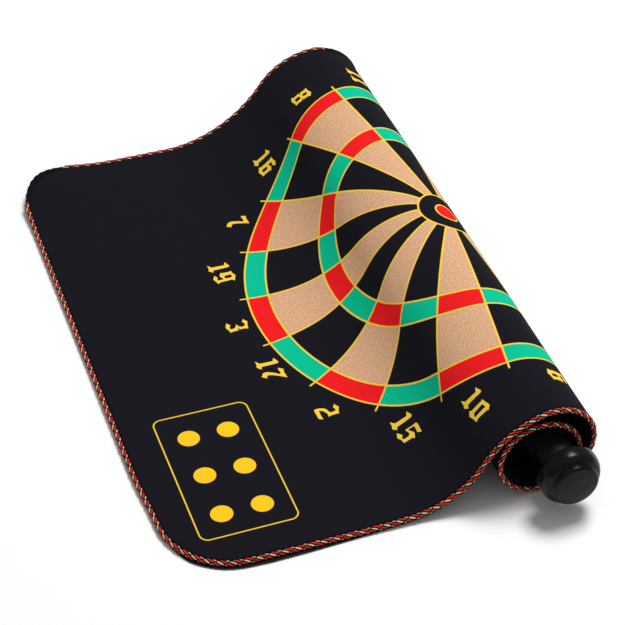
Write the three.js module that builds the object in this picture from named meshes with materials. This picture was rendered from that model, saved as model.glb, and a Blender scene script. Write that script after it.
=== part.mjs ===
// Roll-up magnetic dartboard: a laminated cloth and ferrous-rubber mat, part rolled round its hanging tube.
// Millimetres, +Z up. +Y runs along the tube, -X points to the free edge of the mat, and the table is z = 0.
import * as THREE from "three";
import { mergeVertices } from "three/addons/utils/BufferGeometryUtils.js";

// ---- Driving dimensions -------------------------------------------------------------------------

const HALF_WIDTH = 190; // centre line of the mat to its near or far edge
const CORNER_RADIUS = 38; // the two corners of the free edge

// The mat's printed face, from the free edge to the tube, as stretches of constant curvature:
// length, then the turn in degrees along the near edge and along the far edge (positive bends upwards).
const STRETCHES = [
  { length: 102, near: 0, far: 0 }, // free flap, flat on the table
  { length: 31, near: 4.5, far: 23 }, // foot of the rise
  { length: 51, near: 56.5, far: 32 }, // rise
  { length: 43, near: -44, far: -49.5 }, // shoulder
  { length: 51, near: -109.5, far: -96 }, // crest of the roll
  { length: 62, near: -117.5, far: -119 }, // right side and underside
  { length: 60, near: -144.5, far: -144 }, // back up beside the rise
  { length: 42, near: -95.5, far: -96.5 }, // over and down to the tube
];

// Layers, as depths below the printed face. The glue lines between them are left as thin gaps.
const FACE_CLOTH = { top: 0, bottom: 0.6 };
const CORE = { top: 0.75, bottom: 2.25 };
const BACK_CLOTH = { top: 2.4, bottom: 3.0 };
const MAT_THICKNESS = BACK_CLOTH.bottom;

// Twisted cord sewn along the edge.
const CORD_RADIUS = 2.0;
const CORD_DEPTH = 0.55; // its centre below the printed face
const CORD_OUTSET = 0.85; // its centre outside the mat's edge
const CORD_SIDES = 8;
const CORD_STEP = 6; // length of one straight step along the cord
const CORD_GAP = 0.3; // air between the cord and the layers it is sewn to
const FACE_INSET = CORD_RADIUS - CORD_OUTSET + CORD_GAP; // face cloth and core stop short of the cord
const BACK_INSET = 0.3; // the back cloth runs under the cord

// Flex lines across the mat, as lengths from the free edge.
const TIP_LINE = 50;
const FLAP_LINE = 100;
const RISE_LINE = 150;
const CREST_LINE = 240;
const FLEX_GAP = 0.2; // half the slot at a flex line, on the printed face
const FLEX_HALF_ANGLE = THREE.MathUtils.degToRad(25); // each side of a slot leans back by this much

// Hanging tube, in a cloth sleeve at the inner end of the mat.
const TUBE_X = 217.9; // from the free edge, measured along the table
const TUBE_Z = 22 + MAT_THICKNESS;
const TUBE_RADIUS = 9.5;
const TUBE_BORE = 7.8;
const TUBE_HALF_LENGTH = 204;
const SLEEVE_RADIUS = 11.2; // middle of the sleeve's cloth
const SLEEVE_CLOTH = 1.0;
const SLEEVE_HALF_LENGTH = 186;
const SLEEVE_TAIL = 14; // length sewn to the back of the mat
const SLEEVE_TAIL_GAP = 0.9; // seam allowance between the tail and the back of the mat
const SLEEVE_WRAP = THREE.MathUtils.degToRad(318);

// End caps.
const CAP_RADIUS = 17.9;
const CAP_FACE_RADIUS = 13.9;
const CAP_WAIST_RADIUS = 13.3; // bottom of the groove behind the face
const SPIGOT_RADIUS = 7.4;
const SPIGOT_BORE = 5.6;
const SPIGOT_LENGTH = 14;
const CAP_GAP = 0.4; // between the cap's shoulder and the end of the tube

const SHEET_STEP = 6; // length of one facet along the mat
const SHEET_ROWS = 4; // facets across the mat
const ROUND_SIDES = 32;

// ---- Materials ----------------------------------------------------------------------------------

const material = (name, color, roughness, metalness = 0) =>
  new THREE.MeshStandardMaterial({ name, color, roughness, metalness });
const blackCloth = material("black_cloth", 0x1c1b21, 0.95);
const ferrousRubber = material("ferrous_rubber", 0x2a2725, 0.8);
const backingCloth = material("backing_cloth", 0x141416, 0.95);
const twistedCord = material("twisted_cord", 0xa82a28, 0.75);
const sleeveCloth = material("sleeve_cloth", 0x1a1a1f, 0.95);
const tubePlastic = material("tube_plastic", 0x202026, 0.5);
const capPlastic = material("cap_plastic", 0x18171c, 0.25);

// ---- The mat's shape ----------------------------------------------------------------------------

// Place and heading of the printed face at length s, for share v of the way from near edge to far edge.
function profileAt(s, v) {
  let x = 0;
  let z = MAT_THICKNESS;
  let heading = 0;
  let left = s;
  for (const [index, stretch] of STRETCHES.entries()) {
    const last = index === STRETCHES.length - 1;
    const run = last ? left : Math.min(left, stretch.length);
    const turn = THREE.MathUtils.degToRad(THREE.MathUtils.lerp(stretch.near, stretch.far, v));
    const swing = (turn * run) / stretch.length;
    const chord = swing === 0 ? run : (run * Math.sin(swing / 2)) / (swing / 2);
    x += chord * Math.cos(heading + swing / 2);
    z += chord * Math.sin(heading + swing / 2);
    heading += swing;
    left -= run;
    if (left <= 0) break;
  }
  return { x, z, heading };
}

const MAT_LENGTH = STRETCHES.reduce((sum, stretch) => sum + stretch.length, 0);

// A point of the mat: s along it, y across it, and a depth below the printed face.
function matPoint(s, y, depth) {
  const v = (y + HALF_WIDTH) / (2 * HALF_WIDTH);
  const { x, z, heading } = profileAt(s, v);
  return new THREE.Vector3(x + depth * Math.sin(heading), y, z - depth * Math.cos(heading));
}

// Half the width of an outline that runs parallel to the mat's edge, inset inside it.
function halfWidthAt(s, inset) {
  if (s >= CORNER_RADIUS) return HALF_WIDTH - inset;
  const reach = (CORNER_RADIUS - inset) ** 2 - (CORNER_RADIUS - s) ** 2;
  return HALF_WIDTH - CORNER_RADIUS + Math.sqrt(Math.max(reach, 0));
}

// Lengths at which a panel's layers get a row of vertices: close together round a corner, then even steps.
// Only the two ends differ from layer to layer, so that the layers stay parallel.
function stations(from, to, start, end) {
  const list = [start];
  if (from === 0) {
    const steps = 8;
    for (let i = 1; i < steps; i += 1) {
      const angle = (i / steps) * (Math.PI / 2);
      list.push(CORNER_RADIUS - (CORNER_RADIUS - start) * Math.cos(angle));
    }
  }
  const first = from === 0 ? CORNER_RADIUS : from;
  const steps = Math.ceil((to - first) / SHEET_STEP);
  for (let i = from === 0 ? 0 : 1; i < steps; i += 1) list.push(first + ((to - first) * i) / steps);
  return [...list, end];
}

// Half the slot at a flex line, for a layer whose lower side is at this depth.
const slot = (depth) => FLEX_GAP + depth * Math.tan(FLEX_HALF_ANGLE);

// ---- Solids -------------------------------------------------------------------------------------

// A closed solid between two grids of points with the same rows and columns.
function gridSolid(upper, lower) {
  const rows = upper.length;
  const columns = upper[0].length;
  const positions = [];
  for (const grid of [upper, lower]) {
    for (const row of grid) for (const p of row) positions.push(p.x, p.y, p.z);
  }
  const up = (i, j) => i * columns + j;
  const down = (i, j) => rows * columns + up(i, j);
  const index = [];
  const quad = (a, b, c, d) => index.push(a, b, c, a, c, d);
  for (let i = 0; i + 1 < rows; i += 1) {
    for (let j = 0; j + 1 < columns; j += 1) {
      quad(up(i, j), up(i + 1, j), up(i + 1, j + 1), up(i, j + 1));
      quad(down(i, j), down(i, j + 1), down(i + 1, j + 1), down(i + 1, j));
    }
    quad(up(i, 0), down(i, 0), down(i + 1, 0), up(i + 1, 0));
    quad(up(i, columns - 1), up(i + 1, columns - 1), down(i + 1, columns - 1), down(i, columns - 1));
  }
  for (let j = 0; j + 1 < columns; j += 1) {
    quad(up(0, j), up(0, j + 1), down(0, j + 1), down(0, j));
    quad(up(rows - 1, j), down(rows - 1, j), down(rows - 1, j + 1), up(rows - 1, j + 1));
  }
  const geometry = new THREE.BufferGeometry();
  geometry.setAttribute("position", new THREE.Float32BufferAttribute(positions, 3));
  geometry.setIndex(index);
  geometry.computeVertexNormals();
  return geometry;
}

// One layer of the mat between two lengths. It stops short of the flex lines at its ends.
function layerGeometry(from, to, layer, inset) {
  const start = from === 0 ? inset : from + slot(layer.bottom);
  const end = to === MAT_LENGTH ? to : to - slot(layer.bottom);
  const grid = (depth) =>
    stations(from, to, start, end).map((s) => {
      const half = halfWidthAt(s, inset);
      const row = [];
      for (let j = 0; j <= SHEET_ROWS; j += 1) {
        row.push(matPoint(s, THREE.MathUtils.lerp(-half, half, j / SHEET_ROWS), depth));
      }
      return row;
    });
  return gridSolid(grid(layer.top), grid(layer.bottom));
}

// A closed tube of the cord's section along a smooth line through the points.
function cordGeometry(points) {
  const section = new THREE.Shape();
  section.absarc(0, 0, CORD_RADIUS, 0, 2 * Math.PI);
  const path = new THREE.CatmullRomCurve3(points);
  const steps = Math.ceil(path.getLength() / CORD_STEP);
  const options = { extrudePath: path, steps, curveSegments: CORD_SIDES / 2, bevelEnabled: false };
  return new THREE.ExtrudeGeometry(section, options);
}

// Points of the cord along one side of the mat; side is -1 for near and 1 for far.
function sideCordPoints(from, to, side) {
  const steps = Math.ceil((to - from) / CORD_STEP);
  const points = [];
  for (let i = 0; i <= steps; i += 1) {
    const s = from + ((to - from) * i) / steps;
    points.push(matPoint(s, side * (HALF_WIDTH + CORD_OUTSET), CORD_DEPTH));
  }
  return points;
}

// The cord round the free edge: in along the near side, round both corners and out along the far side.
function freeEdgeCordPoints(to) {
  const radius = CORNER_RADIUS + CORD_OUTSET;
  const corner = (side, angle) =>
    matPoint(
      CORNER_RADIUS - radius * Math.cos(angle),
      side * (HALF_WIDTH - CORNER_RADIUS + radius * Math.sin(angle)),
      CORD_DEPTH,
    );
  const steps = 8;
  const near = [matPoint(to, -(HALF_WIDTH + CORD_OUTSET), CORD_DEPTH)];
  const far = [matPoint(to, HALF_WIDTH + CORD_OUTSET, CORD_DEPTH)];
  for (let i = steps; i >= 0; i -= 1) {
    const angle = (i / steps) * (Math.PI / 2);
    near.push(corner(-1, angle));
    far.push(corner(1, angle));
  }
  const edge = [];
  const flat = HALF_WIDTH - CORNER_RADIUS;
  for (let i = 1; i < 2 * steps; i += 1) {
    edge.push(matPoint(-CORD_OUTSET, THREE.MathUtils.lerp(-flat, flat, i / (2 * steps)), CORD_DEPTH));
  }
  return [...near, ...edge, ...far.reverse()];
}

// The sleeve: a strip of cloth with a tail along the back of the mat, then round the tube.
function sleeveGeometry() {
  const middle = [];
  const tailSteps = 4;
  const tailDepth = MAT_THICKNESS + SLEEVE_TAIL_GAP + SLEEVE_CLOTH / 2;
  for (let i = 0; i < tailSteps; i += 1) {
    const s = MAT_LENGTH - SLEEVE_TAIL * (1 - i / tailSteps);
    const p = matPoint(s, 0, tailDepth);
    const { heading } = profileAt(s, 0.5);
    middle.push({ x: p.x, z: p.z, nx: -Math.sin(heading), nz: Math.cos(heading) });
  }
  for (let i = 0; i <= ROUND_SIDES; i += 1) {
    const angle = -(i / ROUND_SIDES) * SLEEVE_WRAP;
    const nx = Math.cos(angle);
    const nz = Math.sin(angle);
    middle.push({ x: TUBE_X + SLEEVE_RADIUS * nx, z: TUBE_Z + SLEEVE_RADIUS * nz, nx, nz });
  }
  const side = (offset) => middle.map((m) => new THREE.Vector2(m.x + offset * m.nx, m.z + offset * m.nz));
  const outline = new THREE.Shape([...side(SLEEVE_CLOTH / 2), ...side(-SLEEVE_CLOTH / 2).reverse()]);
  const options = { depth: 2 * SLEEVE_HALF_LENGTH, bevelEnabled: false };
  const geometry = new THREE.ExtrudeGeometry(outline, options);
  geometry.rotateX(Math.PI / 2);
  geometry.translate(0, SLEEVE_HALF_LENGTH, 0);
  return geometry;
}

// A ring turned round the Y axis from a closed outline of [radius, y] points.
function turned(outline) {
  const points = outline.map(([radius, y]) => new THREE.Vector2(radius, y));
  return new THREE.LatheGeometry(points, ROUND_SIDES);
}

const tubeGeometry = () =>
  turned([
    [TUBE_RADIUS, -TUBE_HALF_LENGTH],
    [TUBE_RADIUS, TUBE_HALF_LENGTH],
    [TUBE_BORE, TUBE_HALF_LENGTH],
    [TUBE_BORE, -TUBE_HALF_LENGTH],
    [TUBE_RADIUS, -TUBE_HALF_LENGTH],
  ]);

// An end cap, its outer side towards +Y: hollow spigot, rounded shoulder, string groove and domed face.
function capGeometry() {
  return turned([
    [0, -2],
    [SPIGOT_BORE, -2],
    [SPIGOT_BORE, -SPIGOT_LENGTH],
    [SPIGOT_RADIUS, -SPIGOT_LENGTH],
    [SPIGOT_RADIUS, 0],
    [CAP_RADIUS - 0.8, 0],
    [CAP_RADIUS, 0.8],
    [CAP_RADIUS, 3.6],
    [CAP_RADIUS - 0.7, 6],
    [CAP_RADIUS - 2.2, 8.2],
    [CAP_WAIST_RADIUS, 9.4],
    [CAP_WAIST_RADIUS, 9.9],
    [CAP_FACE_RADIUS, 10.4],
    [CAP_FACE_RADIUS, 11.2],
    [CAP_FACE_RADIUS - 0.9, 12.1],
    [CAP_FACE_RADIUS / 2, 12.8],
    [0, 13],
  ]);
}

// ---- The dartboard ------------------------------------------------------------------------------

const board = new THREE.Group();

function add(name, geometry, finish, parent = board) {
  geometry.deleteAttribute("normal");
  geometry.deleteAttribute("uv");
  const mesh = new THREE.Mesh(mergeVertices(geometry, 1e-4), finish);
  mesh.geometry.computeVertexNormals();
  mesh.name = name;
  parent.add(mesh);
  return mesh;
}

// The mat is cut across at its flex lines, so that each panel moves with its own body.
const PANELS = [
  { name: "tip", from: 0, to: TIP_LINE },
  { name: "flap", from: TIP_LINE, to: FLAP_LINE },
  { name: "foot", from: FLAP_LINE, to: RISE_LINE },
  { name: "rise", from: RISE_LINE, to: CREST_LINE },
  { name: "roll", from: CREST_LINE, to: MAT_LENGTH },
];

for (const { name, from, to } of PANELS) {
  add(`face_cloth_${name}`, layerGeometry(from, to, FACE_CLOTH, FACE_INSET), blackCloth);
  add(`magnetic_core_${name}`, layerGeometry(from, to, CORE, FACE_INSET), ferrousRubber);
  add(`back_cloth_${name}`, layerGeometry(from, to, BACK_CLOTH, BACK_INSET), backingCloth);
  const clearance = slot(CORD_DEPTH + CORD_RADIUS);
  if (from === 0) {
    add(`edge_cord_${name}`, cordGeometry(freeEdgeCordPoints(to - clearance)), twistedCord);
    continue;
  }
  const end = to === MAT_LENGTH ? to : to - clearance;
  add(`edge_cord_${name}_near`, cordGeometry(sideCordPoints(from + clearance, end, -1)), twistedCord);
  add(`edge_cord_${name}_far`, cordGeometry(sideCordPoints(from + clearance, end, 1)), twistedCord);
}

add("tube_sleeve", sleeveGeometry(), sleeveCloth);

const hanger = new THREE.Group();
hanger.position.set(TUBE_X, 0, TUBE_Z);
board.add(hanger);
add("hanging_tube", tubeGeometry(), tubePlastic, hanger);
for (const [name, side] of [["end_cap_near", -1], ["end_cap_far", 1]]) {
  const cap = add(name, capGeometry(), capPlastic, hanger);
  cap.position.y = side * (TUBE_HALF_LENGTH + CAP_GAP);
  if (side < 0) cap.rotation.z = Math.PI;
}

// The origin is under the middle of the object, on the table.
board.updateMatrixWorld(true);
const box = new THREE.Box3().setFromObject(board, true);
board.position.x = -(box.min.x + box.max.x) / 2;
board.position.z = -box.min.z;

export default board;
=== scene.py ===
import math

import bmesh
import bpy
import numpy as np
from mathutils import Matrix, Vector
from mathutils.geometry import delaunay_2d_cdt


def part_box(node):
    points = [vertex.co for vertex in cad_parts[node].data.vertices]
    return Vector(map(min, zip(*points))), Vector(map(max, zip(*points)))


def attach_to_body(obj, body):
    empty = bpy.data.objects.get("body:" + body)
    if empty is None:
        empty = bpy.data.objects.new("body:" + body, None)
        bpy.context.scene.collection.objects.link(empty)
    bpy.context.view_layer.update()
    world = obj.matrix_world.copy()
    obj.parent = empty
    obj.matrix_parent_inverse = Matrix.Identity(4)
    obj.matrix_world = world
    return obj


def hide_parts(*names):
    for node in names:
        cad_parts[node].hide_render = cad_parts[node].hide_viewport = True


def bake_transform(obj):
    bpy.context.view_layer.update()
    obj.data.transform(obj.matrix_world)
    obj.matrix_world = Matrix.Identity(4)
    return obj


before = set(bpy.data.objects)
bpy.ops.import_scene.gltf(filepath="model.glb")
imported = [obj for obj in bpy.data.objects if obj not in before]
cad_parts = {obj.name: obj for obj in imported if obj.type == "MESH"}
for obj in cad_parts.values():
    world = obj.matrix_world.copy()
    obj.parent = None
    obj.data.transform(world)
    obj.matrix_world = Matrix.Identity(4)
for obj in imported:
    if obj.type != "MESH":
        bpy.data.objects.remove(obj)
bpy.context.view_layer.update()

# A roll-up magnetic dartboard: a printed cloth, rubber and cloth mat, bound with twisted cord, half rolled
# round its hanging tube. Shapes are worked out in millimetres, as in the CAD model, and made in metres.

MM = 0.001

# ---- Driving dimensions, in millimetres ----

HALF_WIDTH = 190.0
CORNER_RADIUS = 38.0
MAT_THICKNESS = 3.0

# Stretches of constant curvature from the free edge: length, turn at the near edge, turn at the far edge.
STRETCHES = [
    (102, 0, 0),
    (31, 4.5, 23),
    (51, 56.5, 32),
    (43, -44, -49.5),
    (51, -109.5, -96),
    (62, -117.5, -119),
    (60, -144.5, -144),
    (42, -95.5, -96.5),
]
MAT_LENGTH = sum(length for length, near, far in STRETCHES)

# The mat's pieces between two lengths, the bodies they ride on, and where each bends from one to the next.
PANELS = [
    {"name": "tip", "span": (0, 75), "bodies": ("tip", "flap"), "bend": (27, 73)},
    {"name": "flap", "span": (75, 125), "bodies": ("flap", "foot"), "bend": (77, 123)},
    {"name": "foot", "span": (125, 190), "bodies": ("foot", "rise"), "bend": (127, 173)},
    {"name": "rise", "span": (190, 290), "bodies": ("rise", "roll"), "bend": (212, 268)},
    {"name": "roll", "span": (290, MAT_LENGTH), "bodies": ("roll",), "bend": None},
]

# Layers as depths below the printed face, and how far each stops inside the mat's edge.
FACE_LAYER = {"top": 0.0, "bottom": 0.6, "inset": 0.4}
CORE_LAYER = {"top": 0.6, "bottom": 2.4, "inset": 1.2}
BACK_LAYER = {"top": 2.4, "bottom": 3.0, "inset": 0.3}

CORD_OUTSET = 1.4  # of the cord's axis beyond the mat's edge
CORD_DEPTH = 1.0  # of the cord's axis below the printed face
CORD_PITCH = 14.6  # length in which a strand winds once round the axis

# The far corner of the free edge stands off the table, and the near one is pulled in by its cord.
LIFTED_CORNER = {"centre": (0, 190), "height": 12.5, "reach": 66}
PULLED_CORNER = {"centre": (3, -163), "pull": (2.6, 2.0), "reach": 60, "width": 16}

# The printed target: its centre on the cloth, the radius of each ring, and its gold lines.
BULL_S = 249.3
BULL_Y = -3.1
RINGS = {"inner_bull": 7.8, "outer_bull": 18.7, "triple_in": 79.9, "triple_out": 94.0,
         "double_in": 131.1, "double_out": 144.4}
WIRE_HALF = 0.55
WIRE_END = 149.2  # where the spokes stop, a little outside the rings

# The hanging tube's axis.
tube_low, tube_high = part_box("hanging_tube")
TUBE_X = (tube_low.x + tube_high.x) / 2 / MM
TUBE_Z = (tube_low.z + tube_high.z) / 2 / MM
TUBE_HALF_LENGTH = tube_high.y / MM
TUBE_RADIUS = 9.5
TUBE_BORE = 7.8
SLEEVE_RADIUS = 11.2  # middle of the sleeve's cloth
SLEEVE_HALF_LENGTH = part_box("tube_sleeve")[1].y / MM
FREE_EDGE_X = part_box("back_cloth_tip")[0].x / MM - BACK_LAYER["inset"]

# ---- The mat's shape ----


def profile(s, v):
    """Place and heading of the printed face at length s, for share v of the way from near to far edge."""
    x, z, heading = np.zeros_like(s), np.full_like(s, MAT_THICKNESS), np.zeros_like(s)
    start = 0.0
    for index, (length, near, far) in enumerate(STRETCHES):
        low = -np.inf if index == 0 else 0
        high = np.inf if index == len(STRETCHES) - 1 else length
        run = np.clip(s - start, low, high)
        swing = np.radians(near + (far - near) * v) * run / length
        chord = run * np.sinc(swing / 2 / np.pi)
        x = x + chord * np.cos(heading + swing / 2)
        z = z + chord * np.sin(heading + swing / 2)
        heading = heading + swing
        start += length
    return x, z, heading


RIPPLE_HEIGHT = 0.1
LONG_WAVE = 0.6  # height of the longer wave, as a share of the shorter one's


def ripple(s, y):
    """How far soft waves lift the cloth, never below the table."""
    short_wave = np.sin(s / 17 + y / 61) * np.sin(y / 37 - s / 83)
    waves = short_wave + LONG_WAVE * np.sin(s / 43 - y / 29)
    return RIPPLE_HEIGHT * (1 + LONG_WAVE + waves)


def corner_lift(s, y):
    """How far the far corner of the free edge stands off the table."""
    away = np.hypot(s - LIFTED_CORNER["centre"][0], y - LIFTED_CORNER["centre"][1])
    return LIFTED_CORNER["height"] * np.clip(1 - away / LIFTED_CORNER["reach"], 0, 1) ** 2


def corner_pull(s, y):
    """Share of the near corner's pull, fading out along the edge and away from it."""
    away = np.hypot(s - PULLED_CORNER["centre"][0], y - PULLED_CORNER["centre"][1])
    along = np.clip(1 - (away / PULLED_CORNER["reach"]) ** 2, 0, 1) ** 2
    from_arc = np.hypot(np.maximum(CORNER_RADIUS - s, 0), np.maximum(CORNER_RADIUS - HALF_WIDTH - y, 0))
    inward = CORNER_RADIUS - from_arc
    return along * np.clip(1 - inward / PULLED_CORNER["width"], 0, 1) ** 2


def mat_points(s, y, depth):
    """Points of the mat: s along it, y across it, and a depth below the printed face."""
    s, y, depth = np.broadcast_arrays(*(np.asarray(a, float) for a in (s, y, depth)))
    pull = corner_pull(s, y)
    s, y = s + pull * PULLED_CORNER["pull"][0], y + pull * PULLED_CORNER["pull"][1]
    x, z, heading = profile(s, (y + HALF_WIDTH) / (2 * HALF_WIDTH))
    below = depth - ripple(s, y)
    z = z - below * np.cos(heading) + corner_lift(s, y)
    return np.stack([FREE_EDGE_X + x + below * np.sin(heading), y, z], -1)


def mat_normals(s, y):
    step = 0.5
    along = mat_points(s + step, y, 0) - mat_points(s - step, y, 0)
    across = mat_points(s, y + step, 0) - mat_points(s, y - step, 0)
    normal = np.cross(along, across)
    return normal / np.linalg.norm(normal, axis=-1, keepdims=True)


def half_width_at(s, inset):
    """Half the width of an outline that runs parallel to the mat's edge, inset inside it."""
    reach = (CORNER_RADIUS - inset) ** 2 - np.maximum(CORNER_RADIUS - s, 0) ** 2
    round_half = HALF_WIDTH - CORNER_RADIUS + np.sqrt(np.maximum(reach, 0))
    return np.where(s >= CORNER_RADIUS, HALF_WIDTH - inset, round_half)


CORNER_ROWS = 28


def stations(span, inset, step):
    """Lengths at which a panel gets a row of vertices, close together where a corner starts."""
    low, high = span
    if low > 0:
        return np.linspace(low, high, math.ceil((high - low) / step) + 1)
    angles = np.linspace(0, math.pi / 2, CORNER_ROWS + 1)[:-1]
    corner = CORNER_RADIUS - (CORNER_RADIUS - inset) * np.cos(angles)
    count = math.ceil((high - CORNER_RADIUS) / step) + 1
    return np.concatenate([corner, np.linspace(CORNER_RADIUS, high, count)])


# ---- The mat's border, as a line from the inner end of the near edge to that of the far edge ----

SIDE_LENGTH = MAT_LENGTH - CORNER_RADIUS
ARC_LENGTH = CORNER_RADIUS * math.pi / 2
EDGE_LENGTH = 2 * (HALF_WIDTH - CORNER_RADIUS)
BORDER_LENGTH = 2 * (SIDE_LENGTH + ARC_LENGTH) + EDGE_LENGTH


def border(u):
    """(s, y) on the border at distance u along it, and the outward direction there."""
    middle = BORDER_LENGTH / 2
    from_middle = np.abs(u - middle)
    side = np.sign(u - middle)
    on_edge = from_middle - EDGE_LENGTH / 2
    angle = np.clip(on_edge / CORNER_RADIUS, 0, math.pi / 2)
    past = np.maximum(on_edge - ARC_LENGTH, 0)
    s = CORNER_RADIUS * (1 - np.cos(angle)) + past
    y = np.minimum(from_middle, EDGE_LENGTH / 2) + CORNER_RADIUS * np.sin(angle)
    return s, side * y, -np.cos(angle), side * np.sin(angle)


def border_points(u, outset, depth):
    """Points beside the border: a distance along it, outward from it and below the printed face."""
    s, y, out_s, out_y = border(u)
    return mat_points(s + outset * out_s, y + outset * out_y, depth)


def border_spans(panel):
    """The parts of the border that belong to a panel, near one first."""
    low, high = panel["span"]
    near_low, near_high = MAT_LENGTH - high, MAT_LENGTH - low
    if low == 0:
        return {"": (near_low, BORDER_LENGTH - near_low)}
    return {
        "_near": (near_low, near_high),
        "_far": (BORDER_LENGTH - near_high, BORDER_LENGTH - near_low),
    }


# ---- Making objects ----


def make_object(name, points, faces, materials, kinds=None, attributes=None, normals=None):
    """A smooth mesh object from points in millimetres. kinds gives each face's material number."""
    mesh = bpy.data.meshes.new(name)
    mesh.from_pydata((np.asarray(points) * MM).tolist(), [], faces)
    for material in materials:
        mesh.materials.append(material)
    if kinds is not None:
        mesh.polygons.foreach_set("material_index", kinds)
    mesh.polygons.foreach_set("use_smooth", [True] * len(mesh.polygons))
    for key, values in (attributes or {}).items():
        layer = mesh.attributes.new(key, "FLOAT_VECTOR", "POINT")
        layer.data.foreach_set("vector", np.asarray(values, np.float32).ravel())
    mesh.update()
    if normals is not None:
        mesh.normals_split_custom_set(normals)
    piece = bpy.data.objects.new(name, mesh)
    bpy.context.scene.collection.objects.link(piece)
    return piece


def grid_faces(rows, columns, first=0, wrap=False, flip=False):
    """Quads over a grid of points stored row by row."""
    faces = []
    for i in range(rows - 1):
        for j in range(columns if wrap else columns - 1):
            k = (j + 1) % columns
            quad = [first + i * columns + j, first + (i + 1) * columns + j,
                    first + (i + 1) * columns + k, first + i * columns + k]
            faces.append(quad[::-1] if flip else quad)
    return faces


def sheet_faces(rows, columns):
    """Top, bottom and side faces of a closed thin sheet, whose top grid of points is stored first."""
    count = rows * columns
    top = grid_faces(rows, columns)
    bottom = grid_faces(rows, columns, count, flip=True)
    rim = list(range(columns))
    rim += [i * columns + columns - 1 for i in range(1, rows)]
    rim += [(rows - 1) * columns + j for j in range(columns - 2, -1, -1)]
    rim += [i * columns for i in range(rows - 2, 0, -1)]
    walls = [[a, b, b + count, a + count] for a, b in zip(rim, rim[1:] + rim[:1])]
    return top, bottom, walls


class Tubes:
    """Closed round tubes gathered into one mesh, each a grid of rings."""

    def __init__(self):
        self.points, self.faces, self.kinds, self.marks = [], [], [], []
        self.count = 0

    def add(self, rings, kind=0, marks=None):
        rows, columns = rings.shape[:2]
        first = self.count
        self.points.append(rings.reshape(-1, 3))
        if marks is None:
            marks = np.zeros_like(rings)
        self.marks.append(marks.reshape(-1, 3))
        faces = grid_faces(rows, columns, first, wrap=True)
        faces.append([first + j for j in range(columns)])
        faces.append([first + (rows - 1) * columns + j for j in range(columns)][::-1])
        self.faces += faces
        self.kinds += [kind] * len(faces)
        self.count += rows * columns

    def build(self, name, materials):
        points, marks = np.concatenate(self.points), np.concatenate(self.marks)
        piece = make_object(name, points, self.faces, materials, self.kinds, {"thread": marks})
        fix_normals(piece)
        return piece


WELD_DISTANCE = 1e-7  # in metres


def fix_normals(piece, weld=False):
    """Turns all faces outwards, after joining points that coincide where weld is set."""
    work = bmesh.new()
    work.from_mesh(piece.data)
    if weld:
        bmesh.ops.remove_doubles(work, verts=work.verts, dist=WELD_DISTANCE)
    bmesh.ops.recalc_face_normals(work, faces=work.faces)
    work.to_mesh(piece.data)
    work.free()


def attach(piece, panel):
    """Makes a piece of the mat move with its panel's body where the panel has no bend; otherwise it only
    bakes the piece's placing into its points.
    """
    if panel["bend"] is None:
        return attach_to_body(piece, panel["bodies"][0])
    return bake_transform(piece)


# ---- Materials ----


class Shader:
    """A material with one Principled shader, and short ways to add nodes in front of it."""

    def __init__(self, name, specular, sheen=0.0, sheen_roughness=0.5):
        self.material = bpy.data.materials.new(name)
        self.material.use_nodes = True
        self.tree = self.material.node_tree
        self.surface = self.tree.nodes["Principled BSDF"]
        self.surface.inputs["Specular IOR Level"].default_value = specular
        self.surface.inputs["Sheen Weight"].default_value = sheen
        self.surface.inputs["Sheen Roughness"].default_value = sheen_roughness

    def node(self, kind, **settings):
        made = self.tree.nodes.new(kind)
        for key, value in settings.items():
            setattr(made, key, value)
        return made

    def put(self, socket, value):
        if isinstance(value, bpy.types.NodeSocket):
            self.tree.links.new(value, socket)
        else:
            socket.default_value = value

    def math(self, operation, a, b=0.0, c=0.0):
        made = self.node("ShaderNodeMath", operation=operation)
        for socket, value in zip(made.inputs, (a, b, c)):
            self.put(socket, value)
        return made.outputs[0]

    def ramp(self, value, low, high, from_low=0.0, from_high=1.0):
        """from_low at low and from_high at high, and flat outside them."""
        made = self.node("ShaderNodeMapRange")
        for socket, number in zip(made.inputs, (value, low, high, from_low, from_high)):
            self.put(socket, number)
        return made.outputs[0]

    def mix(self, share, a, b, blend="MIX"):
        made = self.node("ShaderNodeMix", data_type="RGBA", blend_type=blend)
        self.put(made.inputs[0], share)
        self.put(made.inputs[6], a)
        self.put(made.inputs[7], b)
        return made.outputs[2]

    def noise(self, vector, scale, detail=3.0, roughness=0.5):
        made = self.node("ShaderNodeTexNoise")
        self.put(made.inputs["Vector"], vector)
        for key, value in (("Scale", scale), ("Detail", detail), ("Roughness", roughness)):
            made.inputs[key].default_value = value
        return made.outputs[0]

    def attribute(self, name):
        return self.node("ShaderNodeAttribute", attribute_name=name).outputs["Vector"]

    def split(self, vector):
        made = self.node("ShaderNodeSeparateXYZ")
        self.put(made.inputs[0], vector)
        return made.outputs[0], made.outputs[1], made.outputs[2]

    def object_place(self):
        return self.node("ShaderNodeTexCoord").outputs["Object"]

    def bump(self, height, distance, strength=1.0):
        made = self.node("ShaderNodeBump")
        made.inputs["Strength"].default_value = strength
        made.inputs["Distance"].default_value = distance
        self.put(made.inputs["Height"], height)
        self.put(self.surface.inputs["Normal"], made.outputs[0])

    def colour(self, value):
        self.put(self.surface.inputs["Base Color"], value)

    def rough(self, value):
        self.put(self.surface.inputs["Roughness"], value)


def srgb(red, green, blue):
    """A linear colour from screen values of 0 to 255."""
    def linear(value):
        value /= 255
        return value / 12.92 if value <= 0.04045 else ((value + 0.055) / 1.055) ** 2.4
    return (linear(red), linear(green), linear(blue), 1.0)


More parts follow.
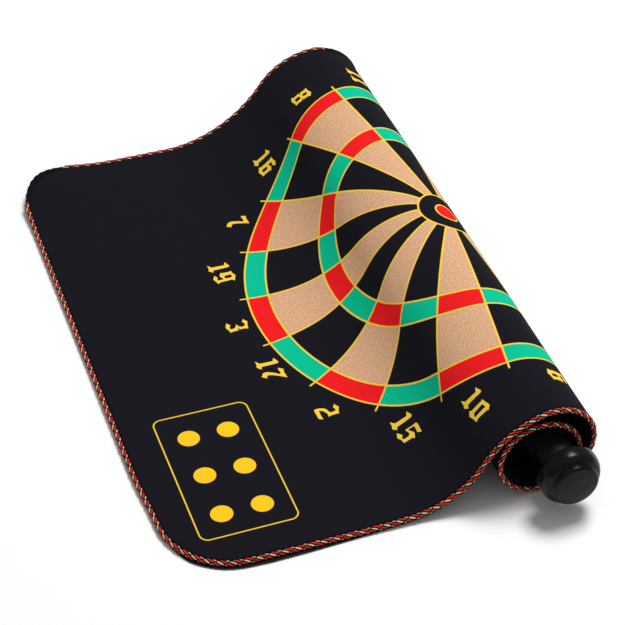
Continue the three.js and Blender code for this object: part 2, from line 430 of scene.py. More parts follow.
RED_INK = srgb(240, 30, 36)
GREEN_INK = srgb(7, 192, 147)
GOLD_INK = srgb(250, 208, 60)
DOT_INK = srgb(252, 202, 36)
CLOTH_SHEEN_ROUGHNESS = 0.4
SOFT = 0.1  # how far the edges of the ink run, in millimetres
WEAVE_PITCH = 0.42


def weave(shader, s, y, pitch):
    """Height of a plain weave from 0 to 1, with its threads along s and y."""
    calc = shader.math

    def wave(value):
        return calc("SINE", calc("MULTIPLY", value, 2 * math.pi / pitch))
    product = calc("MULTIPLY", wave(s), wave(y))
    return calc("MULTIPLY_ADD", product, 0.5, 0.5)


def inside(shader, value, edge):
    """1 where the value is below the edge, and 0 above it."""
    return shader.ramp(value, edge - SOFT, edge + SOFT, 1.0, 0.0)


def line(shader, value, half):
    """1 within half the line's width of where the value is 0."""
    return inside(shader, shader.math("ABSOLUTE", value), half)


def any_of(shader, masks):
    total = masks[0]
    for mask in masks[1:]:
        total = shader.math("MAXIMUM", total, mask)
    return total


def length_of(shader, a, b):
    squares = shader.math("MULTIPLY_ADD", a, a, shader.math("MULTIPLY", b, b))
    return shader.math("SQRT", squares)


def target_colour(shader, s, y, black, tan):
    """The dartboard: rings, sectors and wires round the bull."""
    calc = shader.math
    up = calc("SUBTRACT", s, BULL_S)
    right = calc("SUBTRACT", BULL_Y, y)
    radius = length_of(shader, up, right)
    angle = calc("ARCTAN2", right, up)
    sector = calc("MULTIPLY_ADD", angle, 10 / math.pi, 0.5)
    odd = calc("FLOORED_MODULO", calc("FLOOR", sector), 2.0)
    share = calc("FRACT", sector)
    to_wire = calc("MINIMUM", share, calc("SUBTRACT", 1.0, share))
    wire_gap = calc("MULTIPLY", calc("MULTIPLY", to_wire, math.pi / 10), radius)
    rings = []
    for inner, outer in (("triple_in", "triple_out"), ("double_in", "double_out")):
        middle = (RINGS[inner] + RINGS[outer]) / 2
        offset = calc("SUBTRACT", radius, middle)
        rings.append(line(shader, offset, (RINGS[outer] - RINGS[inner]) / 2))
    beds = shader.mix(odd, tan, black)
    bands = shader.mix(odd, RED_INK, GREEN_INK)
    colour = shader.mix(any_of(shader, rings), beds, bands)
    colour = shader.mix(inside(shader, radius, RINGS["outer_bull"]), colour, black)
    colour = shader.mix(inside(shader, radius, RINGS["inner_bull"]), colour, RED_INK)
    colour = shader.mix(inside(shader, radius, RINGS["double_out"]), black, colour)
    wires = [line(shader, calc("SUBTRACT", radius, ring), WIRE_HALF) for ring in RINGS.values()]
    beyond_bull = shader.ramp(radius, RINGS["outer_bull"] - SOFT, RINGS["outer_bull"] + SOFT)
    spoke = calc("MULTIPLY", inside(shader, wire_gap, WIRE_HALF), beyond_bull)
    wires.append(calc("MULTIPLY", spoke, inside(shader, radius, WIRE_END)))
    return shader.mix(any_of(shader, wires), colour, GOLD_INK)


# The printed frame and its dots, on the cloth in millimetres.
FRAME_CENTRE = (48.2, -120.1)
FRAME_HALF = (28.2, 50.4)
FRAME_CORNER = 5.0
FRAME_LINE_HALF = 0.4
DOT_RADIUS = 6.4
DOT_COLUMN = 11.75  # from the frame's centre to each column of dots
DOT_ROW = 31.9  # between rows of dots
DOT_MIDDLE = -121.7  # the middle row


def parking_colour(shader, s, y, colour):
    """The thin rounded frame with six dots, where darts are parked."""
    calc = shader.math
    along = calc("ABSOLUTE", calc("SUBTRACT", s, FRAME_CENTRE[0]))
    across = calc("SUBTRACT", y, FRAME_CENTRE[1])
    out_s = calc("SUBTRACT", along, FRAME_HALF[0] - FRAME_CORNER)
    out_y = calc("SUBTRACT", calc("ABSOLUTE", across), FRAME_HALF[1] - FRAME_CORNER)
    corner = length_of(shader, calc("MAXIMUM", out_s, 0.0), calc("MAXIMUM", out_y, 0.0))
    within = calc("MINIMUM", calc("MAXIMUM", out_s, out_y), 0.0)
    edge = calc("SUBTRACT", calc("ADD", corner, within), FRAME_CORNER)
    from_dots = calc("SUBTRACT", y, DOT_MIDDLE)
    row = calc("ROUND", calc("DIVIDE", from_dots, DOT_ROW))
    row = calc("MINIMUM", calc("MAXIMUM", row, -1.0), 1.0)
    dot_y = calc("SUBTRACT", from_dots, calc("MULTIPLY", row, DOT_ROW))
    dot = length_of(shader, calc("SUBTRACT", along, DOT_COLUMN), dot_y)
    colour = shader.mix(line(shader, edge, FRAME_LINE_HALF), colour, GOLD_INK)
    return shader.mix(inside(shader, dot, DOT_RADIUS), colour, DOT_INK)


def printed_cloth():
    """Matt cloth with the target and the parking frame printed on it."""
    shader = Shader("printed_cloth", 0.04, 0.01, CLOTH_SHEEN_ROUGHNESS)
    place = shader.attribute("cloth")
    s, y, _ = shader.split(place)
    fuzz = shader.math("MULTIPLY_ADD", shader.noise(place, 1.9, 1.0), 0.24, -0.12)
    s_ink, y_ink = shader.math("ADD", s, fuzz), shader.math("SUBTRACT", y, fuzz)
    mottle = shader.noise(place, 0.35, 4.0, 0.6)
    grain = shader.noise(place, 0.95, 5.0, 0.95)
    black = shader.mix(mottle, srgb(20, 19, 25), srgb(28, 27, 35))
    tan = shader.mix(shader.ramp(grain, 0.38, 0.62), srgb(255, 212, 174), srgb(176, 119, 76))
    tan = shader.mix(shader.ramp(mottle, 0.35, 0.65, 0.0, 0.3), tan, srgb(206, 156, 114))
    colour = target_colour(shader, s_ink, y_ink, black, tan)
    colour = parking_colour(shader, s_ink, y_ink, colour)
    height = weave(shader, s, y, WEAVE_PITCH)
    # Painted shade in the weave's hollows and painted light on its raised threads, multiplied into the
    # colour.
    shade = shader.ramp(height, 0.0, 1.0, 0.88, 1.06)
    shader.colour(shader.mix(1.0, colour, shade, "MULTIPLY"))
    shader.rough(shader.ramp(mottle, 0.0, 1.0, 0.8, 0.95))
    shader.bump(height, 0.00006)
    return shader.material


def woven(name, low, high, pitch, shine, patches, shades, roughness, relief):
    """Cloth, or ink on cloth, that shows its weave, with painted shade in its hollows and painted light on
    its raised threads, and follows the cloth's own directions.
    """
    shader = Shader(name, *shine)
    place = shader.attribute("cloth")
    s, y, _ = shader.split(place)
    height = weave(shader, s, y, pitch)
    mottle = shader.noise(place, *patches)
    # Painted shade and painted light of the weave, multiplied into the colour.
    shade = shader.ramp(height, 0.0, 1.0, *shades)
    shader.colour(shader.mix(1.0, shader.mix(mottle, low, high), shade, "MULTIPLY"))
    shader.rough(shader.ramp(mottle, 0.0, 1.0, *roughness))
    shader.bump(height, relief)
    return shader.material


def plain_cloth(name, low, high, pitch):
    """Black woven cloth."""
    shine = (0.08, 0.02, CLOTH_SHEEN_ROUGHNESS)
    return woven(name, low, high, pitch, shine, (0.3, 4.0), (0.7, 1.1), (0.82, 0.96), 0.0001)


def rubber():
    """Dark rubber with fine specks of iron powder."""
    shader = Shader("ferrous_rubber", 0.35)
    speck = shader.noise(shader.object_place(), 2400.0, 3.0, 0.7)
    shader.colour(shader.mix(speck, srgb(30, 29, 29), srgb(62, 58, 55)))
    shader.rough(shader.ramp(speck, 0.2, 0.8, 0.7, 0.9))
    shader.bump(speck, 0.00005)
    return shader.material


FIBRES = 5.0  # fibre ridges round a strand


def thread(name, dark, light, fibre_pitch, sheen):
    """Twisted yarn: fine fibres wind round the strand, with painted highlight on their ridges, painted shade
    in the grooves and random fuzz. The thread mark holds length and angle.
    """
    shader = Shader(name, sheen, sheen, 0.35)
    calc = shader.math
    along, angle, _ = shader.split(shader.attribute("thread"))
    round_strand = calc("MULTIPLY", angle, FIBRES)
    wound = calc("MULTIPLY_ADD", along, 2 * math.pi / fibre_pitch, round_strand)
    fibre_shade = calc("MULTIPLY_ADD", calc("SINE", wound), 0.5, 0.5)
    fuzz = shader.noise(shader.object_place(), 2600.0, 3.0, 0.65)
    # Painted highlight on the fibres' ridges and painted shade in their grooves, mixed with the yarn's
    # random fuzz.
    blend = calc("MULTIPLY_ADD", fibre_shade, 0.6, calc("MULTIPLY", fuzz, 0.4))
    shader.colour(shader.mix(blend, dark, light))
    shader.rough(shader.ramp(fuzz, 0.2, 0.8, 0.55, 0.85))
    shader.bump(blend, 0.00012)
    return shader.material


def ink(name, low, high):
    """Ink of the numerals."""
    return woven(name, low, high, WEAVE_PITCH, (0.15,), (0.6, 3.0), (0.9, 1.04), (0.75, 0.92), 0.00005)


def plastic(name, low, high, rough_low, rough_high, peel, shine):
    """Moulded black plastic with faint flow marks, orange peel and fine scuffs."""
    shader = Shader(name, shine)
    place = shader.object_place()
    cloud = shader.noise(place, 60.0, 3.0)
    fine = shader.noise(place, 420.0, 2.0)
    scuff = shader.noise(place, 1900.0, 4.0, 0.75)
    shader.colour(shader.mix(cloud, low, high))
    worn = shader.math("MULTIPLY_ADD", shader.ramp(scuff, 0.5, 0.72), 0.25, cloud)
    shader.rough(shader.ramp(worn, 0.3, 1.0, rough_low, rough_high))
    shader.bump(fine, peel)
    return shader.material


PRINTED = printed_cloth()
BACKING = plain_cloth("backing_cloth", srgb(20, 20, 23), srgb(30, 30, 34), 0.6)
SLEEVE_CLOTH = plain_cloth("sleeve_cloth", srgb(17, 17, 21), srgb(28, 28, 33), 0.5)
RUBBER = rubber()
# Each yarn's two colours are its shaded and lit tones, mixed by the painted fibre shade.
RED_YARN = thread("cord_red", srgb(150, 10, 14), srgb(250, 54, 44), 2.1, 0.12)
BEIGE_YARN = thread("cord_beige", srgb(204, 166, 108), srgb(255, 244, 208), 1.7, 0.12)
BLACK_YARN = thread("cord_black", srgb(8, 8, 9), srgb(22, 21, 24), 0.9, 0.02)
BLACK_THREAD_AND_SHADOW = thread("thread_black_and_shadow", srgb(22, 21, 27), srgb(38, 37, 45), 0.9, 0.01)
GOLD_PRINT = ink("numeral_ink", srgb(240, 196, 44), srgb(252, 216, 74))
TUBE_PLASTIC = plastic("tube_plastic", srgb(18, 18, 22), srgb(30, 30, 36), 0.38, 0.6, 0.00002, 0.4)
CAP_PLASTIC = plastic("cap_plastic", srgb(11, 11, 15), srgb(17, 16, 21), 0.16, 0.26, 0.00002, 0.13)

# ---- The mat's layers ----

LAYER_STEP = 1.5
LAYER_COLUMNS = 49


def layer_piece(name, panel, layer, material):
    """One layer of the mat between two lengths, as a closed thin solid."""
    rows = stations(panel["span"], layer["inset"], LAYER_STEP)
    share = np.linspace(-1, 1, LAYER_COLUMNS)
    s = np.repeat(rows[:, None], LAYER_COLUMNS, 1)
    y = half_width_at(rows, layer["inset"])[:, None] * share
    points = np.concatenate([mat_points(s, y, layer[side]).reshape(-1, 3) for side in ("top", "bottom")])
    cloth = np.stack([s, y, np.zeros_like(s)], -1).reshape(-1, 3)
    top, bottom, walls = sheet_faces(len(rows), LAYER_COLUMNS)
    up = mat_normals(s, y).reshape(-1, 3)
    normals = [up[i] for face in top for i in face]
    normals += [-up[i - s.size] for face in bottom for i in face]
    normals += [(0, 0, 0)] * (4 * len(walls))  # zero keeps the face's own
    attributes = {"cloth": np.concatenate([cloth, cloth])}
    return make_object(name, points, top + bottom + walls, [material], None, attributes, normals)


for panel in PANELS:
    name = panel["name"]
    low, high = panel["span"]
    core = layer_piece(f"rubber_core_{name}", panel, CORE_LAYER, RUBBER)
    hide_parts(f"magnetic_core_{name}")
    attach(core, panel)
    for kind, node, layer, material, slot in (
        ("printed_cloth", "face_cloth", FACE_LAYER, PRINTED, "printed_cloth"),
        ("backing", "back_cloth", BACK_LAYER, BACKING, "backing_cloth"),
    ):
        cloth = layer_piece(f"{kind}_{name}", panel, layer, material)
        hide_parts(f"{node}_{name}")
        attach(cloth, panel)

# ---- The twisted cord and the edge stitching ----

# Stretches of the border, past its middle, where black thread wraps the mat's edge and hides the cord:
# the far corner of the free edge, and the far side behind the crest.
WRAPS = [(162, 203), (414, 468)]
WRAP_FADE = 5.0  # length in which the cord comes out from under the thread
WRAP_SCALLOP = 0.5
SCALLOP_PITCH = 5.6
HIDDEN_CORD = {"outset": 0.1, "depth": 1.4, "scale": 0.5}

# Each strand's phase round the axis, distance from it, radius, hand, and kind of yarn. The bindings wind the
# other way and part the beige strands.
STRANDS = [
    (0.0, 0.84, 0.72, -1, 0),
    (0.25, 0.92, 0.47, -1, 1),
    (0.5, 0.84, 0.72, -1, 0),
    (0.75, 0.92, 0.47, -1, 1),
    (0.13, 1.2, 0.27, -1, 2),
    (0.37, 1.2, 0.27, -1, 2),
    (0.63, 1.2, 0.27, -1, 2),
    (0.87, 1.2, 0.27, -1, 2),
    (0.25, 1.34, 0.34, 1, 2),
    (0.75, 1.34, 0.34, 1, 2),
    (0.0, 0.0, 0.8, 1, 2),
]
STRAND_SIDES = 9
STRAND_STEP = 0.6
STRAND_UNEVENNESS = 0.1  # of a strand's radius


def cord_share(u):
    """1 where the cord shows, falling to 0 where thread hides it."""
    share = np.ones_like(u)
    for start, end in WRAPS:
        outside = np.maximum(BORDER_LENGTH / 2 + start - u, u - BORDER_LENGTH / 2 - end)
        share = np.minimum(share, np.clip(outside / WRAP_FADE, 0, 1))
    return share * share * (3 - 2 * share)


def strand_rings(low, high, phase, centre, radius, hand):
    """Rings of a strand that winds round the cord's axis."""
    count = math.ceil((high - low) / STRAND_STEP) + 1
    u = np.linspace(low, high, count)[:, None]
    turn = 2 * math.pi * (phase + hand * u / CORD_PITCH)
    angle = np.linspace(0, 2 * math.pi, STRAND_SIDES, endpoint=False)[None, :]
    share = cord_share(u)
    scale = HIDDEN_CORD["scale"] + (1 - HIDDEN_CORD["scale"]) * share
    axis_outset = HIDDEN_CORD["outset"] + (CORD_OUTSET - HIDDEN_CORD["outset"]) * share
    axis_depth = HIDDEN_CORD["depth"] + (CORD_DEPTH - HIDDEN_CORD["depth"]) * share
    swell = np.sin(u / 1.7 + 9 * phase + 2 * np.sin(u / 11))
    radius = radius * (1 + STRAND_UNEVENNESS * swell)
    outset = axis_outset + scale * (centre * np.sin(turn) + radius * np.sin(angle))
    depth = axis_depth - scale * (centre * np.cos(turn) + radius * np.cos(angle))
    rings = border_points(u + 0 * angle, outset, depth)
    marks = np.stack([u + 0 * angle, angle - turn, np.zeros_like(outset)], -1)
    return rings, marks


for panel in PANELS:
    for side, (low, high) in border_spans(panel).items():
        tubes = Tubes()
        for *shape, kind in STRANDS:
            rings, marks = strand_rings(low, high, *shape)
            tubes.add(rings, kind, marks)
        cord = tubes.build(f"twisted_cord_{panel['name']}{side}", [RED_YARN, BEIGE_YARN, BLACK_YARN])
        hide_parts(f"edge_cord_{panel['name']}{side}")
        attach(cord, panel)

# A flat black strip under the cord. Part of it is a real black edge, and part is painted shadow where it
# reaches out onto the table as the contact shadow beside the edge.
SHADOW_TAPE_STEP = 1.5
SHADOW_TAPE_DEPTHS = (2.45, 2.95)
SHADOW_TAPE_INSET = 2.0
SHADOW_TAPE_UNDER_WRAP = 0.9  # how far it reaches beyond the edge where thread wraps it
SHADOW_TAPE_NOSE = [(0.3, 0.0), (0.07, 0.1)]  # rounds its outer edge: how far short, and how far into its thickness
# How far the strip reaches beyond the edge, by the distance from the border's middle towards the near end.
# Its widest reach, round the near corner, is painted shadow.
SHADOW_TAPE_PLACES = (150, 168, 182, 191, 208, 225, 245, 270, 290, 310, 350)
SHADOW_TAPE_REACHES = (2.0, 2.3, 4.2, 4.0, 4.2, 4.7, 4.4, 3.4, 2.7, 2.3, 2.0)


def tape_rings(low, high):
    """Rings of the flat black strip under the cord, partly painted shadow on the table beside the edge."""
    count = math.ceil((high - low) / SHADOW_TAPE_STEP) + 1
    u = np.linspace(low, high, count)
    outer = np.interp(BORDER_LENGTH / 2 - u, SHADOW_TAPE_PLACES, SHADOW_TAPE_REACHES)
    outer = SHADOW_TAPE_UNDER_WRAP + (outer - SHADOW_TAPE_UNDER_WRAP) * cord_share(u)
    top, bottom = SHADOW_TAPE_DEPTHS
    middle = (top + bottom) / 2
    section = [(-SHADOW_TAPE_INSET, top), (-SHADOW_TAPE_INSET, bottom)]
    rings = [border_points(u, np.full_like(u, outset), depth) for outset, depth in section]
    nose = [(short, bottom - into) for short, into in SHADOW_TAPE_NOSE]
    nose += [(0.0, middle)] + [(short, top + into) for short, into in reversed(SHADOW_TAPE_NOSE)]
    for short, depth in nose:
        rings.append(border_points(u, outer - short, depth))
    return np.stack(rings, 1)


STITCH_SIDES = 6
SEAM_START = 0.5  # from the start of a panel's border to its first stitch
SEAM_END = 0.4
FULLY_SHOWN = 0.99  # share of the cord from which stitches run beside it
WRAP_OVERLAP = 2  # how far the wrapped thread runs past each end of its stretch
WRAP_FILL = (1.2, 1.4, 1.3)  # half width, depth and half height of what the thread winds round
WRAP_FILL_SIDES = 16
# Stitches as (outset, height above the printed face): beside the cord, and round the edge.
EDGE_STITCH = {"route": [(-1.9, -0.1), (-1.5, 0.08), (-1.0, 0.12), (-0.5, 0.05), (-0.1, -0.3)],
               "radius": 0.16, "lean": 0.2, "pitch": 1.9}
WRAP_STITCH = {"route": [(-2.4, -0.1), (-1.8, 0.12), (-1.0, 0.25), (0.2, 0.15), (1.0, -0.45), (1.35, -1.4),
                         (1.05, -2.2), (0.1, -2.75), (-1.8, -2.9)],
               "radius": 0.5, "lean": 0.3, "pitch": 1.3}


def smooth_line(points, count):
    """Points along a Catmull-Rom curve through the given ones."""
    points = np.asarray(points, float)
    padded = np.concatenate([[2 * points[0] - points[1]], points, [2 * points[-1] - points[-2]]])
    result = []
    for t in np.linspace(0, len(points) - 1 - 1e-9, count):
        i, f = int(t), t - int(t)
        a, b, c, d = padded[i:i + 4]
        result.append(0.5 * (2 * b + (c - a) * f + (2 * a - 5 * b + 4 * c - d) * f ** 2
                             + (3 * b - a - 3 * c + d) * f ** 3))
    return np.array(result)


def stitch_rings(u, stitch):
    """Rings and marks of one stitch that crosses the border at u."""
    route = smooth_line(stitch["route"], 2 * len(stitch["route"]))
    tangent = np.gradient(route, axis=0)
    tangent /= np.linalg.norm(tangent, axis=1, keepdims=True)
    angle = np.linspace(0, 2 * math.pi, STITCH_SIDES, endpoint=False)
    lean = np.linspace(-stitch["lean"], stitch["lean"], len(route))[:, None]
    along = u + lean + stitch["radius"] * np.cos(angle)
    outset = route[:, 0:1] - stitch["radius"] * np.sin(angle) * tangent[:, 1:2]
    height = route[:, 1:2] + stitch["radius"] * np.sin(angle) * tangent[:, 0:1]
    length = np.cumsum(np.linalg.norm(np.gradient(route, axis=0), axis=1))[:, None]
    marks = np.stack([length + 0 * outset, angle + 0 * outset, 0 * outset], -1)
    return border_points(along, outset, -height), marks


def add_stitches(tubes, stitch, low, high):
    """A row of stitches, wherever the cord shows."""
    for u in np.arange(low + SEAM_START, high - SEAM_END, stitch["pitch"]):
        if cord_share(u) > FULLY_SHOWN:
            rings, marks = stitch_rings(u, stitch)
            tubes.add(rings, 0, marks)


def add_wrap(tubes, low, high):
    """Black thread wound over the mat's edge, a little scalloped, round a solid filling."""
    for u in np.arange(low, high, WRAP_STITCH["pitch"]):
        bulge = WRAP_SCALLOP * abs(math.sin(math.pi * u / SCALLOP_PITCH))
        route = [(outset + bulge * (outset > 0), height) for outset, height in WRAP_STITCH["route"]]
        rings, marks = stitch_rings(u, {**WRAP_STITCH, "route": route})
        tubes.add(rings, 0, marks)
    count = math.ceil(high - low) + 1
    u = np.linspace(low, high, count)[:, None]
    angle = np.linspace(0, 2 * math.pi, WRAP_FILL_SIDES, endpoint=False)[None, :]
    half_width, depth, half_height = WRAP_FILL
    tubes.add(border_points(u + 0 * angle, half_width * np.sin(angle), depth - half_height * np.cos(angle)))


# The black strip under the cord, partly painted shadow, is made in the thread's black, like the stitching.
for panel in PANELS:
    shadow_tape, stitches = Tubes(), Tubes()
    for low, high in border_spans(panel).values():
        shadow_tape.add(tape_rings(low, high))
        add_stitches(stitches, EDGE_STITCH, low, high)
        for start, end in WRAPS:
            wrap_low = max(low, BORDER_LENGTH / 2 + start - WRAP_OVERLAP)
            wrap_high = min(high, BORDER_LENGTH / 2 + end + WRAP_OVERLAP)
            if wrap_high - wrap_low > WRAP_STITCH["pitch"]:
                add_wrap(stitches, wrap_low, wrap_high)
    for tubes, kind in ((shadow_tape, "edge_shadow_tape"), (stitches, "edge_stitching")):
        piece = tubes.build(f"{kind}_{panel['name']}", [BLACK_THREAD_AND_SHADOW])
        attach(piece, panel)

# ---- The numerals ----

# Outlines of each digit in a box 10 wide and 14 high: the ink's own, then those of its holes.
DIGIT_PITCH = 9.8
DIGIT_WIDTH = 9.6
DIGIT_HEIGHT = 14.2
DIGITS = {
    "0": [[(0.3, 11.8), (1, 10.7), (1.2, 3.1), (0, 1.8), (2.9, 0), (6.8, 1.6), (9.6, 2), (8.6, 3.8),
        (8.8, 10.7), (9.3, 12), (6.8, 13.9), (2.7, 12.5)],
          [(3.1, 10.4), (6.1, 11.3), (6.4, 3.3), (5.8, 2.6), (3.7, 3.4)]],
    "1": [[(0.2, 12), (1.9, 11.2), (3, 10.7), (2.8, 2.7), (0, 0.5), (3.7, 0.5), (5.6, -0.2), (8, 2.1),
        (5.9, 3), (5.7, 12.8), (4.6, 13.9)]],
    "2": [[(0.2, 12.3), (2.8, 11.1), (5, 12), (5.9, 10.8), (6.1, 8.8), (5.3, 7.8), (3, 7.2), (1.2, 5.8),
        (0.2, 3.3), (0, 1), (0.7, -0.1), (8.4, 0.2), (9.8, 2.6), (6.2, 2.3), (1.8, 2.5), (3.4, 4.9),
        (6.2, 6.3), (9.1, 6.3), (8.5, 7.4), (8.4, 11.1), (8.9, 12.6), (5.7, 13.3), (3.7, 14.3)]],
    "3": [[(0, 12.6), (2.3, 11.2), (4.6, 12.3), (6.5, 11.7), (6.9, 9.7), (5.8, 8), (3.4, 7.1), (5.8, 6.1),
        (6.9, 4.9), (7, 2.9), (5.8, 2.2), (3.2, 3.5), (0.7, 1.7), (4.6, 0), (7.5, 1), (10.2, 1.7),
        (9.6, 2.6), (9.4, 6.8), (6.6, 7.2), (9, 8), (8.8, 10.8), (9.6, 13.1), (5.7, 13.6), (3.2, 14.5)]],
    "4": [[(3.2, 12.9), (3.6, 11.6), (0, 5), (1.6, 3.6), (5.6, 3.6), (5.6, 2), (4.9, 1.2), (6.6, -0.1),
        (8.8, 1.2), (8, 2), (8, 3.6), (8.6, 3.4), (10, 5), (8, 5.6), (8, 11.6), (8.8, 12.9), (6.3, 14.2)],
          [(2.9, 5.6), (5.6, 5.6), (5.6, 11.2)]],
    "5": [[(1.5, 13.8), (1.6, 11.1), (1.3, 7.4), (1.4, 6.1), (2.7, 6.5), (5.2, 7.4), (6.6, 6.3), (6.8, 3.3),
        (5.7, 2.1), (3.4, 3.4), (0, 1), (3.6, -0.1), (6.1, 1.4), (9.3, 2.1), (9.1, 2.9), (9.1, 7.5),
        (10.4, 8.9), (6.6, 10.2), (3.6, 8.2), (2.4, 7.8), (2.5, 11), (3.1, 11.9), (8, 11.7), (9.5, 14.1),
        (3.1, 14.3)]],
    "6": [[(0.2, 12.8), (1, 11.4), (1.1, 2.9), (0.1, 1.7), (4.3, 0), (6.8, 0.9), (10, 1.7), (9.3, 3.3),
        (9.5, 7.1), (10.3, 8.3), (7.2, 9.6), (5.4, 8.7), (3.8, 8.6), (3.8, 10.6), (4.8, 11.3),
        (6.9, 10.6), (9.5, 12.4), (6.6, 13.9), (3.1, 13)],
          [(4.1, 6.4), (5.2, 7.1), (6.8, 6.2), (6.8, 3.3), (5.6, 2.4), (4, 3.2)]],
    "7": [[(0, 11.9), (1, 11.4), (4.7, 12), (5.8, 11.2), (3.7, 8.6), (1.9, 5.4), (1.4, 3.6), (1.9, 1.8),
        (4.8, 0), (6.9, 2.9), (4.9, 3.5), (4.4, 4.5), (5.3, 7.2), (8.2, 12), (10, 14.5), (4.6, 14),
        (1.9, 14.6)]],
    "8": [[(0.4, 12.9), (1.3, 11.6), (1.5, 8.9), (1.1, 8.2), (3, 7.2), (0.9, 6.6), (1.3, 5.6), (1.5, 2.5),
        (0, 1.1), (3.4, 0), (6.8, 1.1), (9.7, 1.6), (9.1, 2.9), (9.3, 6.6), (7.2, 7.2), (9.6, 7.9),
        (9.1, 8.9), (9.3, 11.6), (10.2, 12.9), (7.2, 14.5), (3.8, 13.2)],
          [(4.1, 11.9), (6.3, 11.7), (6.7, 9.3), (5.4, 8.2), (4, 9)],
          [(3.7, 5.7), (5.2, 6.8), (6.9, 5.7), (6.9, 2.8), (5.4, 2.3), (3.7, 3)]],
    "9": [[(0.2, 13.1), (0.7, 11.5), (0.6, 7.4), (0, 6.2), (3, 4.8), (5.9, 6.2), (6.8, 6.5), (7, 3.5),
        (6.4, 2.3), (3.9, 3.3), (1.6, 1.7), (5, 0.1), (7.7, 1.2), (10.2, 1.7), (9.1, 3.5), (8.7, 11.2),
        (10.2, 12.8), (7.5, 13.7), (5.2, 14.6), (2.7, 13.4)],
          [(3.4, 11.6), (5.2, 12.5), (6.5, 11.3), (6.4, 8.1), (5.2, 7.2), (3.6, 8.1)]],
}
# Each numeral's centre from the bull: to the right, which is towards -Y, and up, towards the tube.
NUMERALS = [
    (20, 0, 158), (1, 51, 151), (18, 95, 128), (4, 129, 93), (13, 155, 47), (6, 157.7, 2.7), (10, 155, -50),
    (15, 128, -94.7), (2, 92.4, -130.4), (17, 45.3, -150), (3, 0, -156.7), (19, -53, -150),
    (7, -96.5, -126), (16, -134, -90.3), (8, -153, -44.3), (11, -160.3, 1.7), (14, -153, 50),
    (9, -130, 93), (12, -94, 129), (5, -50, 152),
]
INK_TOP = -0.06  # as depths below the printed face
INK_BOTTOM = 0.1
GLYPH_STEP = 1.5  # between cuts that let the ink follow the cloth's curve
CORNER_TOLERANCE = 1e-4
CUT_TOLERANCE = 1e-5


def signed_area(outline):
    """Positive for a corner order that runs anticlockwise."""
    following = outline[1:] + outline[:1]
    return sum(x0 * y1 - x1 * y0 for (x0, y0), (x1, y1) in zip(outline, following)) / 2


def numeral_mesh(number, right, up):
    """One numeral as flat triangles, in the cloth's own (s, y) millimetres."""
    digits = str(number)
    left = right - (DIGIT_PITCH * (len(digits) - 1) + DIGIT_WIDTH) / 2
    corners, loops, holes = [], [], set()
    for digit in digits:
        for part, outline in enumerate(DIGITS[digit]):
            if part > 0:
                holes.add(len(loops))
            if signed_area(outline) < 0:
                outline = outline[::-1]
            loops.append(list(range(len(corners), len(corners) + len(outline))))
            corners += [Vector((left + x, up - DIGIT_HEIGHT / 2 + y)) for x, y in outline]
        left += DIGIT_PITCH
    made = delaunay_2d_cdt(corners, [], loops, 1, CORNER_TOLERANCE)
    kept = [face for face, sources in zip(made[2], made[5]) if sources and not holes & set(sources)]
    return np.array([[BULL_S + p.y, BULL_Y - p.x] for p in made[0]]), kept


def flat_work(points, faces):
    """The flat faces as a bmesh, without the points that no face uses."""
    work = bmesh.new()
    vertices = [work.verts.new((s, y, 0)) for s, y in points]
    for face in faces:
        work.faces.new([vertices[i] for i in face])
    loose = [v for v in work.verts if not v.link_faces]
    bmesh.ops.delete(work, geom=loose, context="VERTS")
    return work


def cut_at(work, s, keep=None):
    """Cuts the flat faces at a length, and drops what lies before or after it."""
    geom = [*work.verts, *work.edges, *work.faces]
    bmesh.ops.bisect_plane(
        work, geom=geom, dist=CUT_TOLERANCE, plane_co=(s, 0, 0), plane_no=(1, 0, 0),
        clear_inner=keep == "after", clear_outer=keep == "before",
    )


def numerals_piece(panel):
    """All the ink of a panel's numerals, or None where it has none."""
    low, high = panel["span"]
    total = bmesh.new()
    for number, right, up in NUMERALS:
        points, faces = numeral_mesh(number, right, up)
        if points[:, 0].max() <= low or points[:, 0].min() >= high:
            continue
        work = flat_work(points, faces)
        cut_at(work, low, "after")
        cut_at(work, high, "before")
        for s in np.arange(low + GLYPH_STEP, high, GLYPH_STEP):
            if points[:, 0].min() < s < points[:, 0].max():
                cut_at(work, s)
        part = bpy.data.meshes.new("part")
        work.to_mesh(part)
        work.free()
        total.from_mesh(part)
        bpy.data.meshes.remove(part)
    if not total.faces:
        return None
    bmesh.ops.recalc_face_normals(total, faces=total.faces)
    total.verts.ensure_lookup_table()
    flat = np.array([v.co for v in total.verts])
    faces = [[v.index for v in face.verts] for face in total.faces]
    rim = [[e.verts[0].index, e.verts[1].index] for e in total.edges if len(e.link_faces) == 1]
    total.free()
    count = len(flat)
    s, y = flat[:, 0], flat[:, 1]
    points = np.concatenate([mat_points(s, y, INK_TOP), mat_points(s, y, INK_BOTTOM)])
    bottom = [[i + count for i in face[::-1]] for face in faces]
    walls = [[a, b, b + count, a + count] for a, b in rim]
    cloth = np.stack([s, y, 0 * s], -1)
    name = f"numerals_{panel['name']}"
    piece = make_object(name, points, faces + bottom + walls, [GOLD_PRINT], None,
                        {"cloth": np.concatenate([cloth, cloth])})
    fix_normals(piece)
    piece.data.polygons.foreach_set("use_smooth", [False] * len(piece.data.polygons))
    return piece


for panel in PANELS:
    numerals = numerals_piece(panel)
    if numerals:
        attach(numerals, panel)

# ---- The sleeve, the tube and the end caps ----

SLEEVE_HALF_CLOTH = 0.5
SLEEVE_TAIL = 14.0
SLEEVE_TAIL_DEPTH = MAT_THICKNESS + 0.9 + SLEEVE_HALF_CLOTH
SLEEVE_WRAP = math.radians(318)
TAIL_POINTS = 6
WRAP_POINTS = 60
SLEEVE_ROWS = 160
SLEEVE_COLUMNS = 125
CREASE_HEIGHT = 0.16
CREASE_START = 6  # length past the tail in which the creases grow to their full height


